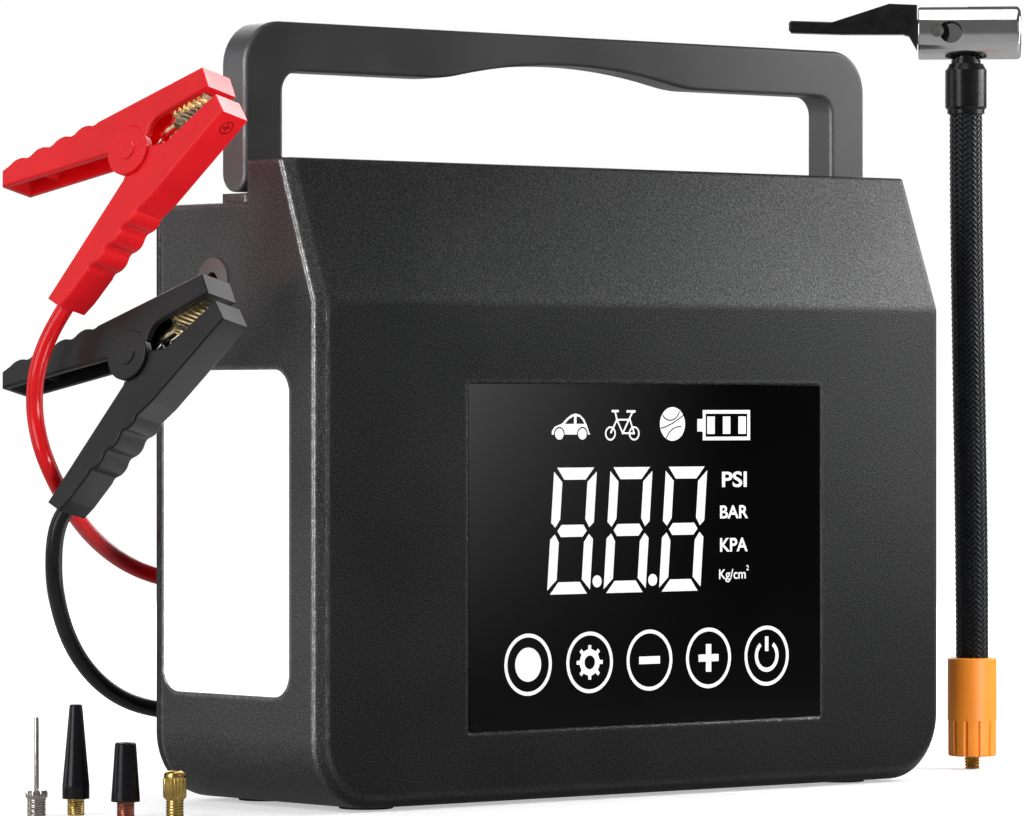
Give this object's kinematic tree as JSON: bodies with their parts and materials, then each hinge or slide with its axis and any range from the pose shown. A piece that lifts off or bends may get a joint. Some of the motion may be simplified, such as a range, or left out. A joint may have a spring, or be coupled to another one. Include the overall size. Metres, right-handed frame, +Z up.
{
  "type": "jump starter pack",
  "caption": "Slab-shaped car jump starter with a tyre inflator inside, a folding carry handle, battery clamps on cables, a side light, a touch display, an air hose and loose nozzles.",
  "frame": {"origin": "on the floor, midway between the sides and between the front and back of the case", "axes": "+X to the right along the front, +Y to the back, +Z up"},
  "size_m": [0.3782, 0.109, 0.2479],
  "materials": {
    "case_plastic": "fine spark-eroded grain",
    "handle_plastic": "satin",
    "panel_glass": "gloss",
    "light_diffuser": "milky",
    "circuit_board": "solder mask",
    "component_black": "moulded",
    "inner_plastic": "moulded",
    "grey_plastic": "satin",
    "nylon": "moulded",
    "silicone": "soft",
    "rubber": "matt",
    "cell_foil": "foil",
    "aluminium": "machined",
    "copper": "plated",
    "brass": "machined",
    "steel": "brushed",
    "black_steel": "blackened",
    "nickel": "nickel plated",
    "chrome": "polished",
    "red_plastic": "satin",
    "black_plastic": "satin",
    "red_sheath": "smooth",
    "black_sheath": "smooth",
    "black_gloss": "moulded",
    "orange_plastic": "ribbed",
    "braid": "braided"
  },
  "bodies": {
    "pack": {"air_outlet": "brass", "air_tube": "silicone", "battery_cells": "cell_foil", "battery_tray": "inner_plastic", "black_cable": "black_sheath", "black_clamp_spring": "steel", "black_lower_jaw": "brass", "black_lower_lever": "black_plastic", "board_parts": "component_black", "bus_bars": "copper", "cable_boots": "rubber", "case_screws": "black_steel", "compressor_frame": "steel", "crank_bush": "brass", "cylinder": "aluminium", "cylinder_head": "aluminium", "display_glass": "panel_glass", "display_module": "circuit_board", "front_shell": "case_plastic", "handle_pivot_pins": "steel", "handle_washers": "nylon", "light_board": "circuit_board", "light_lens": "light_diffuser", "main_board": "circuit_board", "motor_can": "steel", "outlet_ring": "grey_plastic", "port_board": "circuit_board", "port_sockets": "steel", "rear_cover": "case_plastic", "red_cable": "red_sheath", "red_clamp_spring": "steel", "red_lower_jaw": "brass", "red_lower_lever": "red_plastic", "rubber_feet": "rubber"},
    "handle": {"handle_bar": "handle_plastic"},
    "port_flap": {"port_cover": "rubber"},
    "rotor": {"motor_pinion": "steel"},
    "crank": {"crank_gear": "nylon", "crank_axle": "steel"},
    "piston": {"piston_rod": "aluminium"},
    "red_jaw": {"red_upper_lever": "red_plastic", "red_clamp_pin": "steel", "red_upper_jaw": "brass"},
    "black_jaw": {"black_upper_lever": "black_plastic", "black_clamp_pin": "steel", "black_upper_jaw": "brass"},
    "air_hose": {"hose": "braid", "hose_sleeve": "black_sheath", "chuck_barrel": "chrome", "chuck_pin": "steel", "chuck_seal": "rubber"},
    "swivel": {"coupling_nut": "orange_plastic", "coupling_stud": "brass"},
    "flip_lever": {"chuck_lever": "black_steel"},
    "needle": {"ball_needle": "nickel"},
    "long_nozzle": {"long_cone": "black_gloss", "long_cone_thread": "brass"},
    "short_nozzle": {"short_cone": "black_gloss", "short_cone_thread": "copper"},
    "adapter": {"valve_adapter": "brass"}
  },
  "joints": [
    {"name": "handle_fold", "type": "hinge", "parent": "pack", "child": "handle", "pos_m": [0, 0.0011, 0.1856], "axis": [-1, 0, 0], "range_deg": [0, 90]},
    {"name": "port_flap_open", "type": "hinge", "parent": "pack", "child": "port_flap", "pos_m": [0.12423, 0.001, 0.07923], "axis": [0, -1, 0], "range_deg": [0, 100]},
    {"name": "crank_spin", "type": "hinge", "parent": "pack", "child": "crank", "pos_m": [-0.062, -0.0055, 0.096], "axis": [0, 1, 0], "continuous": true},
    {"name": "rotor_spin", "type": "hinge", "parent": "pack", "child": "rotor", "pos_m": [-0.0304, -0.0055, 0.096], "axis": [0, 1, 0], "continuous": true},
    {"name": "piston_stroke", "type": "slide", "parent": "pack", "child": "piston", "axis": [0, 0, -1], "range_m": [0, 0.014]},
    {"name": "red_jaw_open", "type": "hinge", "parent": "pack", "child": "red_jaw", "pos_m": [-0.14828, 0.01359, 0.19038], "axis": [-0.96, -0.1611, 0.2289], "range_deg": [0, 30]},
    {"name": "black_jaw_open", "type": "hinge", "parent": "pack", "child": "black_jaw", "pos_m": [-0.14828, 0.01359, 0.13088], "axis": [-0.96, -0.1611, 0.2289], "range_deg": [0, 30]},
    {"name": "hose_lift", "type": "slide", "parent": "pack", "child": "air_hose", "axis": [0, 0, 1], "range_m": [0, 0.04]},
    {"name": "coupling_spin", "type": "hinge", "parent": "air_hose", "child": "swivel", "pos_m": [0.171, -0.0066, 0.02], "axis": [0, 0, 1], "continuous": true},
    {"name": "chuck_lever_flip", "type": "hinge", "parent": "air_hose", "child": "flip_lever", "pos_m": [0.16293, 0.00123, 0.2388], "axis": [0.7071, 0.7071, 0], "range_deg": [0, 90]},
    {"name": "needle_lift", "type": "slide", "parent": "pack", "child": "needle", "axis": [0, 0, 1], "range_m": [0, 0.04]},
    {"name": "long_nozzle_lift", "type": "slide", "parent": "pack", "child": "long_nozzle", "axis": [0, 0, 1], "range_m": [0, 0.04]},
    {"name": "short_nozzle_lift", "type": "slide", "parent": "pack", "child": "short_nozzle", "axis": [0, 0, 1], "range_m": [0, 0.04]},
    {"name": "adapter_lift", "type": "slide", "parent": "pack", "child": "adapter", "axis": [0, 0, 1], "range_m": [0, 0.04]}
  ],
  "couplings": [
    {"joint": "rotor_spin", "follows": "crank_spin", "ratio": -5.0769}
  ]
}
